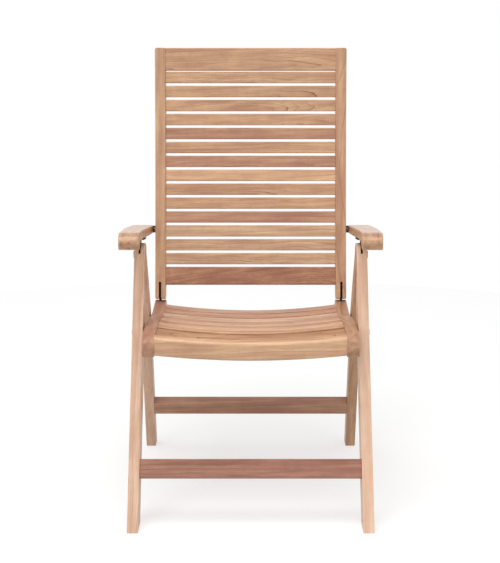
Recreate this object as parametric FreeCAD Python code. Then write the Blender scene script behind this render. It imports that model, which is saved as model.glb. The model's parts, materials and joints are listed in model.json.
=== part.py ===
import FreeCAD, Part
import math
import os

# Folding teak armchair, in millimetres, +Z up, the sitter looks along -Y.
# While it is drawn, Y is 0 at the front foot's front edge. At the end everything is moved
# so that the origin is the bottom centre of the whole chair. Left is -X, right is +X.

# Front legs
leg_lean = 29.4              # degrees from upright, top to the rear
leg_width = 59.0
leg_thickness = 26.5
apex_height = 598.0          # where front leg, rear leg and arm bracket turn on one bolt

# Rear legs, straight, bent and straight again
rear_width = 46.0
rear_upper_slope = 54.7      # degrees below level
rear_lower_slope = 71.5
rear_corner = 233.0          # apex to the corner of the two centre lines
rear_bend_radius = 600.0

# Half laps at the apex
lap_radius = 136.0
lap_gap = 0.5
lap_play = 0.5               # round the rear leg in the front leg's recess
bracket_thickness = 5.0
bracket_play = 0.1           # each side of the bracket between the laps
apex_bolt_radius = 5.0
apex_nut_radius = 9.0
apex_nut_depth = 5.0
apex_nut_room = 0.3          # round the nut in its pocket
running_clearance = 0.05     # on the radius
bolt_head_radius = 10.0
bolt_head_height = 4.0
bolt_head_round = 1.5

# Widths across the chair, from the middle
rail_outer = 262.0
rail_thickness = 30.0
side_gap = 4.5
stile_set = 1.0              # stile's outer face in from the rail's
stile_thickness = 28.0

# Stretchers
front_stretcher_low = 133.0  # along the leg from the floor
front_stretcher_width = 45.0
front_stretcher_thick = 21.0
front_stretcher_set = 3.0    # behind the leg's front edge
rear_stretcher_low = 119.0
rear_stretcher_width = 35.0
rear_stretcher_thick = 34.0
stretcher_tenon = 18.0
stretcher_shoulder = 5.0

# Seat
seat_pivot_height = 417.0
seat_pivot_back = 16.0       # behind the leg's centre line, level
pivot_bolt_radius = 4.0
pivot_bolt_grip = 20.0
washer_radius = 11.0
seat_front = 145.0           # pivot to the rail's nose
seat_rear = 358.0            # pivot to the rail's rear end
rail_shoulder = 22.0         # heights of the rail's top edge from the pivot, front to rear
rail_crest = 25.0
rail_brow = 23.5
rail_fall = 10.0
rail_dip = 2.0               # below the pivot
rail_lift = 2.0
rail_low_front = 27.0        # depths of its lower edge under the pivot, front to rear
rail_low_middle = 37.0
rail_low_rear = 44.0
nose_half = 20.0             # half the height of the rounded nose
nose_bulge = 8.0
nose_drop = 6.0              # middle of the nose below the pivot
tail_half = 19.5
seat_slat_count = 9          # plain slats, behind the nose slat and the broad one
seat_slat_gap = 6.0
seat_slat_thick = 14.0
seat_slat_sunk = 4.0         # below the rail's top edge
seat_slat_short = 1.0        # the last slat ends this far short of the stile
seat_sag = 17.0
broad_slat_width = 78.0
broad_slat_sunk = 7.0
broad_slat_gap = 10.0        # between the broad slat and the first plain one
nose_slat_deep = 34.0
nose_slat_tall = 46.0
nose_slat_proud = 9.0        # above the corner of the rail's nose
nose_slat_round = 8.0
nose_slat_set = 3.0          # behind the rail's nose
nose_slat_shoulder = 12.0
nose_sag = 13.0
slat_tenon = 12.0
slat_round = 3.0
tenon_shoulder = 5.0         # tenons are this much smaller all round than wide pieces

# Support pegs for the seat, in the rear legs
peg_radius = 6.0
peg_drop = 52.0              # peg below the seat pivot
peg_in_leg = 20.0
peg_reach = 24.0             # in under the rail
peg_clearance = 0.3          # rail's lower edge above the peg

# Back
back_foot_in = 45.0          # stile's front bottom corner ahead of the rail's rear end
back_foot_z = 14.0
back_length = 682.0
back_lean = 11.08
back_bow = 15.0              # middle of the stile to the rear of its chord
stile_depth = 45.0
top_rail_height = 61.0
bottom_rail_height = 49.0
stile_below_rail = 37.9      # stile's end below the bottom rail
back_rail_thick = 24.0
back_rail_set = 3.0
back_slat_count = 14
back_slat_gap = 7.0
back_slat_start = 3.0        # gap under the top rail
back_slat_thick = 12.0
back_slat_set = 4.0
back_slat_round = 2.0
back_tenon = 9.0
back_tenon_shoulder = 4.0
back_tenon_cheek = 3.0
stile_corner = 6.0

# Back hinge
pin_up = 37.0
pin_in = 15.0
pin_radius = 3.0
tongue_thick = 6.0
tongue_in = 13.0             # middle of the plate in from the stile's outer face
tongue_head = 7.5
tongue_neck = 6.5
slot_clearance = 0.3
slot_top_room = 1.5
tongue_long = 76.0           # pin to the plate's lower end, in the seat rail
tongue_foot_top = 50.0       # pin to the top of its foot
tongue_foot_front = 36.0     # pin to the front of its foot
rivet_edge = 10.0            # front rivet in from the foot's front
stile_end_radius = 40.0
stile_end_gap = 2.5          # between the turning stile end and the rail
rivet_radius = 2.5

# Arms
arm_slope = 7.9              # down to the rear
arm_rise = 41.8              # underside above the apex bolt
arm_thickness = 22.5
arm_front = 237.0            # nose in front of the apex
arm_past_stud = 24.5
arm_nose_drop = 18.4
arm_nose_long = 112.0        # nose to where the underside is straight
arm_bend = 60.0              # the inner edge is parallel to the stile from here, ahead of the apex
arm_inner_clear = 2.0        # inner edge out from the stile, at the nose and at the rear
arm_rear_clear = 7.3
arm_outer_front = 19.5       # outer edge out from the leg, at the nose and at the rear
arm_outer_rear = 35.0
arm_nose_round = 6.0         # upright corners of the nose, inner and outer
arm_nose_round_out = 15.0
arm_end_round = 6.0
arm_edge_round = 3.0
flange_long = 76.0
flange_wide = 24.0
flange_thick = 3.0
tab_wide = 16.0
tab_play = 0.5
bracket_radius = 22.0
bracket_room = 1.0           # between the bracket's disc and its recess in the front leg
lug_radius = 44.0
lug_place = -150.0           # polar angle from the bolt
lug_half = 6.0
arm_screw_radius = 2.0
arm_screw_length = 15.0
arm_screw_edge = 10.0        # in from the flange's ends

# Catch between arm and back
stud_radius = 6.0
stud_in = 13.0               # behind the stile's front face
stud_head = 5.2
stud_shank_radius = 3.0
stud_shank = 15.0
catch_clearance = 0.3
hook_thick = 5.0
hook_margin = 2.0            # in from the arm's underside, top and rear end
hook_screw_edge = 6.5        # in from the arm's underside and top
hook_screw_radius = 1.75
hook_screw_length = 14.0

# Travel, in degrees
seat_travel = 60.5
rear_leg_travel = 42.0
back_travel = 102.0
arm_travel = 66.0

# Values that follow
leg_inner = rail_outer + side_gap
leg_outer = leg_inner + leg_thickness
leg_mid = leg_inner + leg_thickness / 2
rail_inner = rail_outer - rail_thickness
stile_outer = rail_outer - stile_set
stile_inner = stile_outer - stile_thickness
tongue_x = stile_outer - tongue_in
arm_x = (stile_outer + arm_inner_clear, stile_outer + arm_rear_clear,
         leg_outer + arm_outer_front, leg_outer + arm_outer_rear)
big = 3000.0


def V(x, y, z):
    return FreeCAD.Vector(x, y, z)


def sine(angle):
    return math.sin(math.radians(angle))


def cosine(angle):
    return math.cos(math.radians(angle))


# Shapes drawn from the side: pairs are (y, z)

def side_plate(pairs, x0, x1):
    points = [V(x0, y, z) for y, z in pairs]
    points.append(points[0])
    return Part.Face(Part.makePolygon(points)).extrude(V(x1 - x0, 0, 0))


def side_disc(centre, radius, x0, x1):
    return Part.makeCylinder(radius, x1 - x0, V(x0, centre[0], centre[1]), V(1, 0, 0))


def ring_sector(centre, r0, r1, a0, a1, x0, x1):
    def spot(radius, angle):
        return V(x0, centre[0] + radius * cosine(angle), centre[1] + radius * sine(angle))
    middle = (a0 + a1) / 2
    edges = [Part.Arc(spot(r0, a0), spot(r0, middle), spot(r0, a1)).toShape()]
    edges.append(Part.makeLine(spot(r0, a1), spot(r1, a1)))
    edges.append(Part.Arc(spot(r1, a1), spot(r1, middle), spot(r1, a0)).toShape())
    edges.append(Part.makeLine(spot(r1, a0), spot(r0, a0)))
    return Part.Face(Part.Wire(edges)).extrude(V(x1 - x0, 0, 0))


def curve(pairs, x):
    spline = Part.BSplineCurve()
    spline.interpolate([V(x, y, z) for y, z in pairs])
    return spline.toShape()


def bow(first, through, last, x):
    return Part.Arc(V(x, first[0], first[1]), V(x, through[0], through[1]),
                    V(x, last[0], last[1])).toShape()


def set_at(shape, place, angle):
    # turn about the X axis, positive lifts the rear end, then move
    moved = shape.copy()
    moved.rotate(V(0, 0, 0), V(1, 0, 0), angle)
    moved.translate(V(0, place[0], place[1]))
    return moved


def mirrored(shape):
    return shape.mirror(V(0, 0, 0), V(1, 0, 0))


def pair_of(shape):
    return Part.makeCompound([mirrored(shape), shape])


def above(shape, height):
    return shape.common(Part.makeBox(2 * big, 2 * big, big, V(-big, -big, height)))


def long_edges(shape, least):
    return [edge for edge in shape.Edges if edge.Length > least]


def rounded(shape, radius, edges):
    try:
        result = shape.makeFillet(radius, edges)
    except Exception:
        return shape
    if result.isValid() and result.Volume > 0.5 * shape.Volume:
        return result
    return shape


# Front legs

def leg_spot(along, behind):
    # along the front leg from the floor, behind its front edge
    return (along * sine(leg_lean) + behind * cosine(leg_lean),
            along * cosine(leg_lean) - behind * sine(leg_lean))


def leg_block(u0, u1, n0, n1, x0, x1):
    corners = [leg_spot(u0, n0), leg_spot(u1, n0), leg_spot(u1, n1), leg_spot(u0, n1)]
    return side_plate(corners, x0, x1)


apex_along = (apex_height + leg_width / 2 * sine(leg_lean)) / cosine(leg_lean)
apex = leg_spot(apex_along, leg_width / 2)
seat_pivot = ((seat_pivot_height + leg_width / 2 * sine(leg_lean)) * math.tan(math.radians(leg_lean))
              + leg_width / 2 * cosine(leg_lean) + seat_pivot_back, seat_pivot_height)


def front_stretcher_shape():
    low = front_stretcher_low
    high = low + front_stretcher_width
    near = front_stretcher_set
    far = near + front_stretcher_thick
    body = leg_block(low, high, near, far, -leg_inner, leg_inner)
    s = stretcher_shoulder
    end = leg_inner + stretcher_tenon
    tenon = leg_block(low + s, high - s, near + s, far - s, -end, end)
    return body.fuse(tenon).removeSplitter(), tenon


def rear_leg_path(x0, x1):
    # what the rear leg's straight top part covers as it folds towards the front leg
    half = rear_width / 2 + lap_play
    spots = []
    for slope, side in ((rear_upper_slope + rear_leg_travel, -half), (rear_upper_slope, half)):
        near = (apex[0] + side * sine(slope), apex[1] + side * cosine(slope))
        far = (near[0] + 2 * lap_radius * cosine(slope), near[1] - 2 * lap_radius * sine(slope))
        spots.append((near, far))
    (a, b), (d, c) = spots
    return side_plate([a, b, c, d], x0, x1).fuse(side_disc(apex, half, x0, x1))


def tab_path(x0, x1):
    # what the arm bracket's tab covers as the arm folds
    half = tab_wide / 2 + tab_play
    first = 90 - arm_slope
    swing = ring_sector(apex, apex_bolt_radius, arm_rise, first, first + arm_travel, x0, x1)
    bar = side_plate([(-half, 0), (half, 0), (half, arm_rise), (-half, arm_rise)], x0, x1)
    return swing.fuse(set_at(bar, apex, -arm_slope)).fuse(set_at(bar, apex, arm_travel - arm_slope))


def front_leg_shape(tenon):
    strip = leg_block(-leg_width, apex_along, 0, leg_width, leg_inner, leg_outer)
    leg = strip.fuse(side_disc(apex, leg_width / 2, leg_inner, leg_outer)).removeSplitter()
    leg = above(leg, 0)
    lap_face = leg_mid + lap_gap / 2
    recess = leg_mid + bracket_thickness / 2 + bracket_play
    slot = leg_mid - bracket_thickness / 2 - bracket_play
    leg = leg.cut(rear_leg_path(leg_inner - 1, lap_face))
    leg = leg.cut(side_disc(apex, bracket_radius + bracket_room, slot, recess))
    leg = leg.cut(tab_path(slot, recess))
    leg = leg.cut(ring_sector(apex, bracket_radius - 2, lug_radius + 1, lug_place - lug_half - 0.4,
                              lug_place + arm_travel + lug_half + 1, slot, recess))
    leg = leg.cut(side_disc(apex, apex_bolt_radius, leg_inner, leg_outer + 1))
    leg = leg.cut(side_disc(seat_pivot, pivot_bolt_radius, leg_inner - 1, leg_outer + 1))
    return leg.cut(tenon)


# Rear legs

def rear_line():
    # centre line of the bend: its two ends, its centre and the foot
    d1 = (cosine(rear_upper_slope), -sine(rear_upper_slope))
    d2 = (cosine(rear_lower_slope), -sine(rear_lower_slope))
    corner = (apex[0] + rear_corner * d1[0], apex[1] + rear_corner * d1[1])
    reach = rear_bend_radius * math.tan(math.radians((rear_lower_slope - rear_upper_slope) / 2))
    t1 = (corner[0] - reach * d1[0], corner[1] - reach * d1[1])
    t2 = (corner[0] + reach * d2[0], corner[1] + reach * d2[1])
    centre = (t1[0] - rear_bend_radius * sine(rear_upper_slope),
              t1[1] - rear_bend_radius * cosine(rear_upper_slope))
    foot = (t2[0] + t2[1] * d2[0] / -d2[1], 0.0)
    return t1, t2, centre, foot


bend_top, bend_end, bend_centre, rear_foot = rear_line()


def bend_spot(part, radius):
    angle = 90 - rear_upper_slope - part * (rear_lower_slope - rear_upper_slope)
    return (bend_centre[0] + radius * cosine(angle), bend_centre[1] + radius * sine(angle))


def lower_spot(up, behind):
    return (rear_foot[0] - up * cosine(rear_lower_slope) + behind * sine(rear_lower_slope),
            up * sine(rear_lower_slope) + behind * cosine(rear_lower_slope))


def rear_line_at(height):
    # the rear leg's centre line at a given height, on the bend or below it
    if height < bend_end[1]:
        return lower_spot(height / sine(rear_lower_slope), 0)
    rise = (height - bend_centre[1]) / rear_bend_radius
    return (bend_centre[0] + rear_bend_radius * math.sqrt(1 - rise * rise), height)


peg = rear_line_at(seat_pivot_height - peg_drop)


def lower_block(u0, u1, n0, n1, x0, x1):
    corners = [lower_spot(u0, n0), lower_spot(u1, n0), lower_spot(u1, n1), lower_spot(u0, n1)]
    return side_plate(corners, x0, x1)


def rear_stretcher_shape():
    low = rear_stretcher_low
    high = low + rear_stretcher_width
    near = -rear_width / 2
    far = near + rear_stretcher_thick
    body = lower_block(low, high, near, far, -leg_inner, leg_inner)
    s = stretcher_shoulder
    end = leg_inner + stretcher_tenon
    tenon = lower_block(low + s, high - s, near + 2 * s, far - 2 * s, -end, end)
    return body.fuse(tenon).removeSplitter(), tenon


def rear_leg_shape(tenon):
    half = rear_width / 2
    outer = rear_bend_radius + half
    inner = rear_bend_radius - half
    x = leg_inner
    top_outer = (apex[0] + half * sine(rear_upper_slope), apex[1] + half * cosine(rear_upper_slope))
    top_inner = (apex[0] - half * sine(rear_upper_slope), apex[1] - half * cosine(rear_upper_slope))
    low_outer = lower_spot(-rear_width, half)
    low_inner = lower_spot(-rear_width, -half)

    def line(first, last):
        return Part.makeLine(V(x, first[0], first[1]), V(x, last[0], last[1]))

    edges = [line(top_outer, bend_spot(0, outer))]
    edges.append(bow(bend_spot(0, outer), bend_spot(0.5, outer), bend_spot(1, outer), x))
    edges.append(line(bend_spot(1, outer), low_outer))
    edges.append(line(low_outer, low_inner))
    edges.append(line(low_inner, bend_spot(1, inner)))
    edges.append(bow(bend_spot(1, inner), bend_spot(0.5, inner), bend_spot(0, inner), x))
    edges.append(line(bend_spot(0, inner), top_inner))
    edges.append(line(top_inner, top_outer))
    strip = Part.Face(Part.Wire(edges)).extrude(V(leg_thickness, 0, 0))
    leg = strip.fuse(side_disc(apex, rear_width / 2, leg_inner, leg_outer)).removeSplitter()
    leg = above(leg, 0)
    lap_face = leg_mid - lap_gap / 2
    recess = leg_mid - bracket_thickness / 2 - bracket_play
    leg = leg.cut(side_disc(apex, lap_radius, lap_face, leg_outer + 1))
    leg = leg.cut(side_disc(apex, lug_radius + 2, recess, lap_face + 1))
    leg = leg.cut(side_disc(apex, apex_bolt_radius + running_clearance, leg_inner - 1, leg_outer))
    leg = leg.cut(side_disc(apex, apex_nut_radius + apex_nut_room, leg_inner - 1,
                            leg_inner + apex_nut_depth))
    leg = leg.cut(side_disc(peg, peg_radius, leg_inner - 1, leg_inner + peg_in_leg))
    return leg.cut(tenon)


def apex_bolt_shape():
    nut = side_disc(apex, apex_nut_radius, leg_inner + 0.2, leg_inner + apex_nut_depth - bracket_play)
    shank = side_disc(apex, apex_bolt_radius, leg_inner + 0.2, leg_outer)
    head = side_disc(apex, bolt_head_radius, leg_outer, leg_outer + bolt_head_height)
    head = rounded(head, bolt_head_round, [e for e in head.Edges if e.BoundBox.XMin > leg_outer + 1])
    return nut.fuse(shank).fuse(head).removeSplitter()


def seat_bolt_shape():
    tip = rail_outer - pivot_bolt_grip
    shank = side_disc(seat_pivot, pivot_bolt_radius, tip, leg_outer)
    head = side_disc(seat_pivot, bolt_head_radius, leg_outer, leg_outer + bolt_head_height)
    head = rounded(head, bolt_head_round, [e for e in head.Edges if e.BoundBox.XMin > leg_outer + 1])
    return shank.fuse(head).removeSplitter()


def seat_washer_shape():
    ring = side_disc(seat_pivot, washer_radius, rail_outer + 0.1, leg_inner)
    bore = side_disc(seat_pivot, pivot_bolt_radius + running_clearance, rail_outer, leg_inner + 1)
    return ring.cut(bore)


def peg_shape():
    return side_disc(peg, peg_radius, rail_outer - peg_reach, leg_inner + peg_in_leg)


# Back, drawn down from the top of its front face along a shallow arc

back_radius = ((back_length / 2) ** 2 + back_bow ** 2) / (2 * back_bow)
back_half_angle = math.degrees(math.asin(back_length / 2 / back_radius))
back_foot_y = seat_rear - back_foot_in
back_foot = (seat_pivot[0] + back_foot_y, seat_pivot[1] + back_foot_z)
back_top = (back_foot[0] + back_length * sine(back_lean), back_foot[1] + back_length * cosine(back_lean))
lean_at_top = back_lean - back_half_angle
back_arc = math.radians(2 * back_half_angle) * back_radius
back_centre = (back_top[0] - back_radius * cosine(lean_at_top),
               back_top[1] + back_radius * sine(lean_at_top))


def back_lean_at(down):
    return lean_at_top + math.degrees(down / back_radius)


def back_spot(down, behind):
    lean = back_lean_at(down)
    return (back_centre[0] + (back_radius + behind) * cosine(lean),
            back_centre[1] - (back_radius + behind) * sine(lean))


hinge = back_spot(back_arc - pin_up, pin_in)
hinge_lean = back_lean_at(back_arc - pin_up)


# Seat, drawn from the seat pivot: front and rear are parts of the rail's reach each way

def to_front(part, up):
    return (seat_pivot[0] - part * seat_front, seat_pivot[1] + up)


def to_rear(part, up):
    return (seat_pivot[0] + part * seat_rear, seat_pivot[1] + up)


tail_high = hinge[1] - seat_pivot[1] - stile_end_radius - stile_end_gap
nose_in = seat_pivot[0] - seat_front + nose_bulge
nose_top = (nose_in, seat_pivot[1] + nose_half - nose_drop)
nose_tip = (nose_in - nose_bulge, seat_pivot[1] - nose_drop)
nose_low = (nose_in, seat_pivot[1] - nose_half - nose_drop)
tail_top = to_rear(0.965, tail_high)
tail_tip = to_rear(1, tail_high - tail_half)
tail_low = to_rear(0.975, tail_high - 2 * tail_half)
over_peg = (peg[0], peg[1] + peg_radius + peg_clearance)
top_points = [nose_top, to_front(0.81, rail_shoulder), to_front(0.45, rail_crest), to_front(0.16, rail_brow),
              to_rear(0.32, rail_fall), to_rear(0.56, -rail_dip), to_rear(0.8, rail_lift), tail_top]
low_points = [tail_low, to_rear(0.84, -rail_low_rear), over_peg, to_rear(0.32, -rail_low_middle),
              to_front(0, -rail_low_front), to_front(0.44, -rail_low_front), nose_low]
broad_slat_start = nose_slat_set + nose_slat_deep - nose_bulge + seat_slat_gap
seat_slat_start = broad_slat_start + broad_slat_width + broad_slat_gap
seat_slat_end = seat_front - nose_bulge + back_foot_y - seat_slat_short
seat_slat_pitch = (seat_slat_end - seat_slat_start + seat_slat_gap) / seat_slat_count
seat_slat_width = seat_slat_pitch - seat_slat_gap


def seat_rail_blank():
    edges = [curve(top_points, rail_inner)]
    edges.append(bow(tail_top, tail_tip, tail_low, rail_inner))
    edges.append(curve(low_points, rail_inner))
    edges.append(bow(nose_low, nose_tip, nose_top, rail_inner))
    return Part.Face(Part.Wire(edges)).extrude(V(rail_thickness, 0, 0))


def sagging_bar(width, thick, sag, half):
    # a bar across the chair, its top at 0 at the ends and sag lower in the middle
    radius = (half * half + sag * sag) / (2 * sag)

    def arc(drop):
        low = V(0, 0, -sag - drop)
        side = V(half, 0, radius - sag - math.sqrt((radius + drop) ** 2 - half * half))
        other = V(-half, 0, side.z)
        return other, low, side

    a, b, c = arc(0)
    d, e, f = arc(thick)
    edges = [Part.Arc(a, b, c).toShape(), Part.makeLine(c, f), Part.Arc(f, e, d).toShape(),
             Part.makeLine(d, a)]
    bar = Part.Face(Part.Wire(edges)).extrude(V(0, width, 0))
    bar.translate(V(0, -width / 2, 0))
    return bar


def cross_tenons(width, thick, shoulder):
    # rooted a little inside the bar, and half the shoulder in from its top and bottom
    root = tenon_shoulder
    right = Part.makeBox(slat_tenon + root, width - 2 * shoulder, thick - 1.4 * shoulder,
                         V(rail_inner - root, shoulder - width / 2, 0.7 * shoulder - thick))
    return right.fuse(mirrored(right))


def seat_spot(along, sunk):
    # place and slope of a slat whose middle is so far along the rail's top edge
    edge = curve(top_points, 0)
    where = edge.getParameterByLength(along)
    point = edge.valueAt(where)
    way = edge.tangentAt(where)
    slope = math.degrees(math.atan2(way.z, way.y))
    return (point.y + sunk * sine(slope), point.z - sunk * cosine(slope)), slope


def seat_slat(width):
    bar = sagging_bar(width, seat_slat_thick, seat_sag, rail_inner)
    bar = rounded(bar, slat_round, long_edges(bar, rail_inner))
    tenon = cross_tenons(width, seat_slat_thick, tenon_shoulder)
    return bar.fuse(tenon).removeSplitter(), tenon


def seat_slats():
    # the nose slat first, then the broad one and the plain ones towards the rear
    bar = sagging_bar(nose_slat_deep, nose_slat_tall, nose_sag, rail_inner)
    bar = rounded(bar, nose_slat_round, long_edges(bar, rail_inner))
    tenon = cross_tenons(nose_slat_deep, nose_slat_tall, nose_slat_shoulder)
    place = (nose_tip[0] + nose_slat_set + nose_slat_deep / 2, nose_top[1] + nose_slat_proud)
    slats = [set_at(bar.fuse(tenon).removeSplitter(), place, 0)]
    tenons = [set_at(tenon, place, 0)]
    bar, tenon = seat_slat(broad_slat_width)
    place, slope = seat_spot(broad_slat_start + broad_slat_width / 2, broad_slat_sunk)
    slats.append(set_at(bar, place, slope))
    tenons.append(set_at(tenon, place, slope))
    bar, tenon = seat_slat(seat_slat_width)
    for index in range(seat_slat_count):
        along = seat_slat_start + seat_slat_width / 2 + seat_slat_pitch * index
        place, slope = seat_spot(along, seat_slat_sunk)
        slats.append(set_at(bar, place, slope))
        tenons.append(set_at(tenon, place, slope))
    return slats, tenons


# Back members

bottom_rail_down = back_arc - stile_below_rail - bottom_rail_height
back_slat_pitch = (bottom_rail_down - top_rail_height - back_slat_start) / back_slat_count
back_slat_height = back_slat_pitch - back_slat_gap


def back_bar(down, height, behind, thick, half):
    # straight bar across the back, its middle tangent to the arc
    bar = Part.makeBox(2 * half, thick, height, V(-half, behind, -height / 2))
    middle = down + height / 2
    return set_at(bar, back_spot(middle, 0), -back_lean_at(middle))


def back_member(down, height, behind, thick, ease):
    bar = Part.makeBox(2 * stile_inner, thick, height, V(-stile_inner, behind, -height / 2))
    bar = rounded(bar, ease, long_edges(bar, stile_inner))
    middle = down + height / 2
    bar = set_at(bar, back_spot(middle, 0), -back_lean_at(middle))
    s = back_tenon_shoulder
    tenon = back_bar(down + s, height - 2 * s, behind + back_tenon_cheek, thick - 2 * back_tenon_cheek,
                     stile_inner + back_tenon)
    return bar.fuse(tenon).removeSplitter(), tenon


def back_members():
    named = []
    tenons = []
    bar, tenon = back_member(0, top_rail_height, back_rail_set, back_rail_thick, slat_round)
    named.append(("back_top_rail", bar))
    tenons.append(tenon)
    bar, tenon = back_member(bottom_rail_down, bottom_rail_height, back_rail_set, back_rail_thick,
                             slat_round)
    named.append(("back_bottom_rail", bar))
    tenons.append(tenon)
    for index in range(back_slat_count):
        down = top_rail_height + back_slat_start + index * back_slat_pitch
        bar, tenon = back_member(down, back_slat_height, back_slat_set, back_slat_thick,
                                 back_slat_round)
        named.append(("back_slat_%02d" % (index + 1), bar))
        tenons.append(tenon)
    return named, tenons


def arm_line(y):
    # height of the middle of the arm over a given y
    rise = (arm_rise + arm_thickness / 2) / cosine(arm_slope)
    return apex[1] + rise - (y - apex[0]) * math.tan(math.radians(arm_slope))


def find_stud():
    low = 0.0
    high = back_arc
    for step in range(60):
        down = (low + high) / 2
        place = back_spot(down, stud_in)
        if place[1] > arm_line(place[0]):
            low = down
        else:
            high = down
    return back_spot(low, stud_in)


stud = find_stud()


def stile_shape(tenons):
    x = stile_inner
    edges = [bow(back_spot(0, 0), back_spot(back_arc / 2, 0), back_spot(back_arc, 0), x)]
    first = back_spot(back_arc, 0)
    last = back_spot(back_arc, stile_depth)
    edges.append(Part.makeLine(V(x, first[0], first[1]), V(x, last[0], last[1])))
    edges.append(bow(back_spot(back_arc, stile_depth), back_spot(back_arc / 2, stile_depth),
                     back_spot(0, stile_depth), x))
    first = back_spot(0, stile_depth)
    last = back_spot(0, 0)
    edges.append(Part.makeLine(V(x, first[0], first[1]), V(x, last[0], last[1])))
    stile = Part.Face(Part.Wire(edges)).extrude(V(stile_thickness, 0, 0))
    top = [e for e in stile.Edges if e.BoundBox.ZMin > back_top[1] - 2 * stile_depth
           and e.BoundBox.XMin > stile_outer - 1 and e.Length < 1.5 * stile_depth]
    stile = rounded(stile, stile_corner, top)
    # the lower end is trimmed round the pin so that it turns clear of the seat rail
    below = Part.makeBox(2 * stile_thickness, 4 * stile_depth, pin_up * 3,
                         V(stile_inner - 1, -2 * stile_depth, -pin_up * 3))
    below = set_at(below, hinge, -hinge_lean)
    keep = side_disc(hinge, stile_end_radius, stile_inner - 5, stile_outer + 40)
    stile = stile.cut(below.cut(keep))
    # slot for the tongue, open at the front and at the bottom
    wide = tongue_thick + slot_clearance
    deep = tongue_head + slot_clearance
    high = tongue_neck + slot_top_room
    slot = Part.makeBox(wide, deep + 2 * stile_depth, high + 3 * pin_up,
                        V(tongue_x - wide / 2, -2 * stile_depth, -3 * pin_up))
    stile = stile.cut(set_at(slot, hinge, -hinge_lean))
    lower = Part.makeBox(wide, tongue_neck + slot_clearance + 2 * stile_depth, 3 * pin_up,
                         V(tongue_x - wide / 2, -2 * stile_depth, -3 * pin_up))
    stile = stile.cut(set_at(lower, hinge, 0))
    stile = stile.cut(side_disc(hinge, pin_radius, stile_inner - 1, stile_outer + 1))
    stile = stile.cut(side_disc(stud, stud_shank_radius, stile_outer - stud_shank, stile_outer + 1))
    for tenon in tenons:
        stile = stile.cut(tenon)
    return stile


def tongue_blank():
    # the part of the plate from the pin down into the seat rail
    x0 = tongue_x - tongue_thick / 2
    x1 = tongue_x + tongue_thick / 2
    y, z = hinge
    front = y - tongue_foot_front
    rear = y + tongue_neck
    low = z - tongue_long
    high = z - tongue_foot_top
    neck = side_plate([(y - tongue_neck, z), (rear, z), (rear, low), (y - tongue_neck, low)], x0, x1)
    foot = side_plate([(front, high), (rear, high), (rear, low), (front, low)], x0, x1)
    return neck.fuse(foot).removeSplitter()


rivet_z = hinge[1] - (tongue_long + tongue_foot_top) / 2
rivet_spots = [(hinge[0] - tongue_foot_front + rivet_edge, rivet_z), (hinge[0], rivet_z)]


def tongue_shape():
    x0 = tongue_x - tongue_thick / 2
    x1 = tongue_x + tongue_thick / 2
    plate = tongue_blank().fuse(side_disc(hinge, tongue_head, x0, x1)).removeSplitter()
    plate = plate.cut(side_disc(hinge, pin_radius + running_clearance, x0 - 1, x1 + 1))
    for place in rivet_spots:
        plate = plate.cut(side_disc(place, rivet_radius, x0 - 1, x1 + 1))
    return plate


def rivets_shape():
    return [side_disc(place, rivet_radius, rail_inner, rail_outer) for place in rivet_spots]


def seat_rail_shape(tenons):
    rail = seat_rail_blank()
    rail = rail.cut(side_disc(seat_pivot, pivot_bolt_radius + running_clearance,
                              rail_outer - pivot_bolt_grip - 0.1, rail_outer + 1))
    rail = rail.cut(tongue_blank())
    for place in rivet_spots:
        rail = rail.cut(side_disc(place, rivet_radius, rail_inner - 1, rail_outer + 1))
    for tenon in tenons:
        rail = rail.cut(tenon)
    return rail


def hinge_pin_shape():
    return side_disc(hinge, pin_radius, stile_inner, stile_outer)


def stud_shape():
    shank = side_disc(stud, stud_shank_radius, stile_outer - stud_shank, stile_outer)
    head = side_disc(stud, stud_radius, stile_outer, stile_outer + stud_head)
    return shank.fuse(head).removeSplitter()


# Arms, drawn along the arm from the apex bolt: (a, b) is along to the rear and up

def to_arm(shape):
    return set_at(shape, apex, -arm_slope)


def arm_spot(a, b):
    return (apex[0] + a * cosine(arm_slope) + b * sine(arm_slope),
            apex[1] - a * sine(arm_slope) + b * cosine(arm_slope))


def from_arm(place):
    y = place[0] - apex[0]
    z = place[1] - apex[1]
    return (y * cosine(arm_slope) - z * sine(arm_slope), y * sine(arm_slope) + z * cosine(arm_slope))


arm_top = arm_rise + arm_thickness
stud_a, stud_b = from_arm(stud)
arm_rear = stud_a + arm_past_stud
hook_reach = math.hypot(stud_a, stud_b) + stud_radius + catch_clearance
hook_middle = (hook_reach + arm_rear - hook_margin) / 2
flange_screws = [arm_screw_edge - flange_long / 2, flange_long / 2 - arm_screw_edge]
hook_screw_heights = [arm_rise + hook_screw_edge, arm_top - hook_screw_edge]


def arm_profile():
    # from the side: a drooping nose whose underside runs in a hollow up to the straight part
    nose = -arm_front
    low = arm_rise - arm_nose_drop
    long = arm_nose_long
    x = arm_x[0] - leg_thickness
    points = [(nose + 0.34 * long, arm_top), (nose + 0.13 * long, arm_top - 0.22 * arm_thickness),
              (nose + 0.02 * long, arm_top - 0.75 * arm_thickness),
              (nose, low + 0.73 * arm_nose_drop), (nose + 0.045 * long, low + 0.2 * arm_nose_drop),
              (nose + 0.17 * long, low), (nose + 0.43 * long, low + 0.43 * arm_nose_drop),
              (nose + 0.71 * long, low + 0.89 * arm_nose_drop), (nose + long, arm_rise)]
    edges = [curve(points, x)]
    edges.append(Part.makeLine(V(x, nose + long, arm_rise), V(x, arm_rear, arm_rise)))
    edges.append(Part.makeLine(V(x, arm_rear, arm_rise), V(x, arm_rear, arm_top)))
    edges.append(Part.makeLine(V(x, arm_rear, arm_top), V(x, points[0][0], arm_top)))
    return Part.Face(Part.Wire(edges)).extrude(V(arm_x[3] - x + leg_thickness, 0, 0))


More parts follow.
